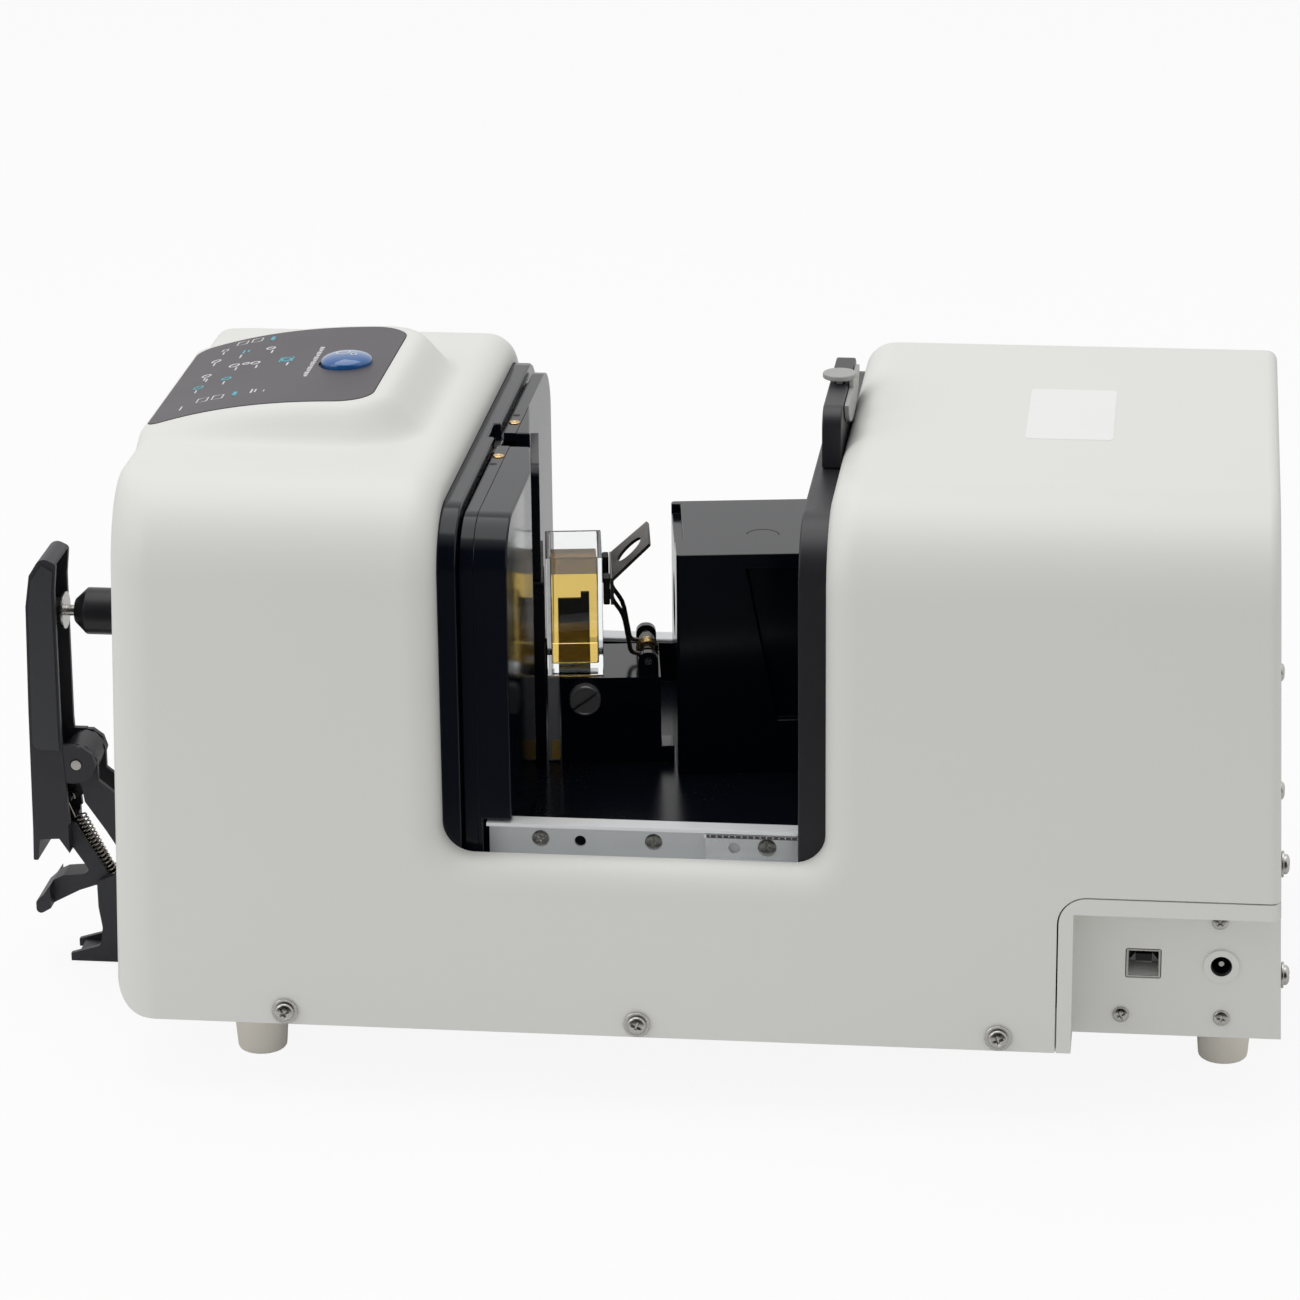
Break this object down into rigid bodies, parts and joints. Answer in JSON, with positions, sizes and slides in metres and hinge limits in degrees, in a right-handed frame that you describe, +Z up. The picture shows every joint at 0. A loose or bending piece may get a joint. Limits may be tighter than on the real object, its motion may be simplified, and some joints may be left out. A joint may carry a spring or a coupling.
{
  "type": "benchtop colorimeter",
  "caption": "Benchtop colorimeter: a sliding cover opens a chamber with a liquid cell and spring clip; a hinged, spring-loaded arm presses a specimen on the front port.",
  "frame": {"origin": "on the table, under the middle of the whole length and width, feet at z = 0", "axes": "+X from the front port to the rear, +Y from the near side with the sockets to the far side, +Z up"},
  "size_m": [0.4984, 0.255, 0.2582],
  "materials": {
    "white_shell": "satin moulded shell",
    "white_rubber": "matt",
    "gloss_black": "glossy",
    "black_plastic": "fine satin",
    "black_metal": "satin black paint",
    "black_rubber": "smooth",
    "zinc_steel": "bright zinc plate",
    "bright_steel": "nickel plate",
    "dark_steel": "dark oxide",
    "brass": "drawn wire",
    "aluminium": "satin",
    "panel_sheet": "fine textured film",
    "blue_button": "glossy",
    "grey_plastic": "satin",
    "glass": "polished",
    "liquid": "clear",
    "white_coating": "matt diffuse coating",
    "board": "solder mask"
  },
  "bodies": {
    "base": {"main_cover": "white_shell", "rear_corner_housing": "white_shell", "usb_socket": "bright_steel", "power_jack": "black_plastic", "power_jack_pin": "bright_steel", "base_plate": "zinc_steel", "front_foot_near": "white_rubber", "front_foot_far": "white_rubber", "rear_foot_near": "white_rubber", "rear_foot_far": "white_rubber", "cover_screw_near_1": "bright_steel", "cover_screw_near_2": "bright_steel", "cover_screw_near_3": "bright_steel", "cover_screw_far_1": "bright_steel", "cover_screw_far_2": "bright_steel", "cover_screw_far_3": "bright_steel", "control_panel": "panel_sheet", "switch_carrier": "black_plastic", "target_mask": "black_plastic", "chassis_channel": "black_metal", "sphere_housing": "gloss_black", "slide_outer_near": "zinc_steel", "slide_outer_far": "zinc_steel", "latch_keeper": "bright_steel", "receiver_housing": "gloss_black", "receiver_lens": "glass", "port_plate": "gloss_black", "port_window_plate": "gloss_black", "stage_rail": "aluminium", "holder_bracket": "gloss_black", "cell_stage": "gloss_black", "clip_pin": "bright_steel", "clip_spring": "brass", "arm_bracket": "black_metal", "arm_pin": "bright_steel", "arm_spring": "bright_steel", "integrating_sphere": "white_coating", "lamp_unit": "aluminium", "spectrometer": "black_metal", "main_board": "board"},
    "cover": {"chamber_cover": "black_metal", "cover_handle": "black_plastic", "slide_inner_near": "zinc_steel", "slide_inner_far": "zinc_steel"},
    "latch": {"latch_button": "grey_plastic"},
    "slide_near": {"slide_middle_near": "zinc_steel"},
    "slide_far": {"slide_middle_far": "zinc_steel"},
    "button": {"measure_button": "blue_button"},
    "knob": {"holder_knob": "black_metal"},
    "clip": {"cell_clip": "dark_steel", "clip_pad_near": "black_rubber", "clip_pad_far": "black_rubber"},
    "cell": {"glass_cell": "glass", "cell_liquid": "liquid"},
    "arm": {"specimen_arm": "black_plastic", "pad_stem": "bright_steel", "specimen_pad": "black_rubber"}
  },
  "joints": [
    {"name": "cover_slide", "type": "slide", "parent": "base", "child": "cover", "axis": [-1, 0, 0], "range_m": [0, 0.126]},
    {"name": "slide_near_run", "type": "slide", "parent": "base", "child": "slide_near", "axis": [-1, 0, 0], "range_m": [0, 0.063]},
    {"name": "slide_far_run", "type": "slide", "parent": "base", "child": "slide_far", "axis": [-1, 0, 0], "range_m": [0, 0.063]},
    {"name": "latch_press", "type": "slide", "parent": "cover", "child": "latch", "axis": [0, 0, -1], "range_m": [0, 0.0012], "stiffness_N_per_m": 400, "springref_m": -0.004},
    {"name": "measure_press", "type": "slide", "parent": "base", "child": "button", "axis": [0.031, 0, -0.9995], "range_m": [0, 0.001], "stiffness_N_per_m": 600, "springref_m": -0.001},
    {"name": "knob_turn", "type": "hinge", "parent": "base", "child": "knob", "pos_m": [-0.02599, 0.00224, 0.1178], "axis": [-0.1392, 0.9903, 0], "continuous": true},
    {"name": "clip_open", "type": "hinge", "parent": "base", "child": "clip", "pos_m": [-0.00386, 0.02584, 0.1313], "axis": [-0.1392, 0.9903, 0], "range_deg": [0, 10], "stiffness_Nm_per_rad": 0.1, "springref_deg": -28.65, "deforming": ["clip_spring"]},
    {"name": "cell_lift", "type": "slide", "parent": "base", "child": "cell", "axis": [0, 0, 1], "range_m": [0, 0.12]},
    {"name": "arm_open", "type": "hinge", "parent": "base", "child": "arm", "pos_m": [-0.22975, 0, 0.0875], "axis": [0, -1, 0], "range_deg": [0, 15], "stiffness_Nm_per_rad": 0.3, "springref_deg": -28.65, "deforming": ["arm_spring"]}
  ],
  "couplings": [
    {"joint": "slide_near_run", "follows": "cover_slide", "ratio": 0.5},
    {"joint": "slide_far_run", "follows": "cover_slide", "ratio": 0.5}
  ]
}
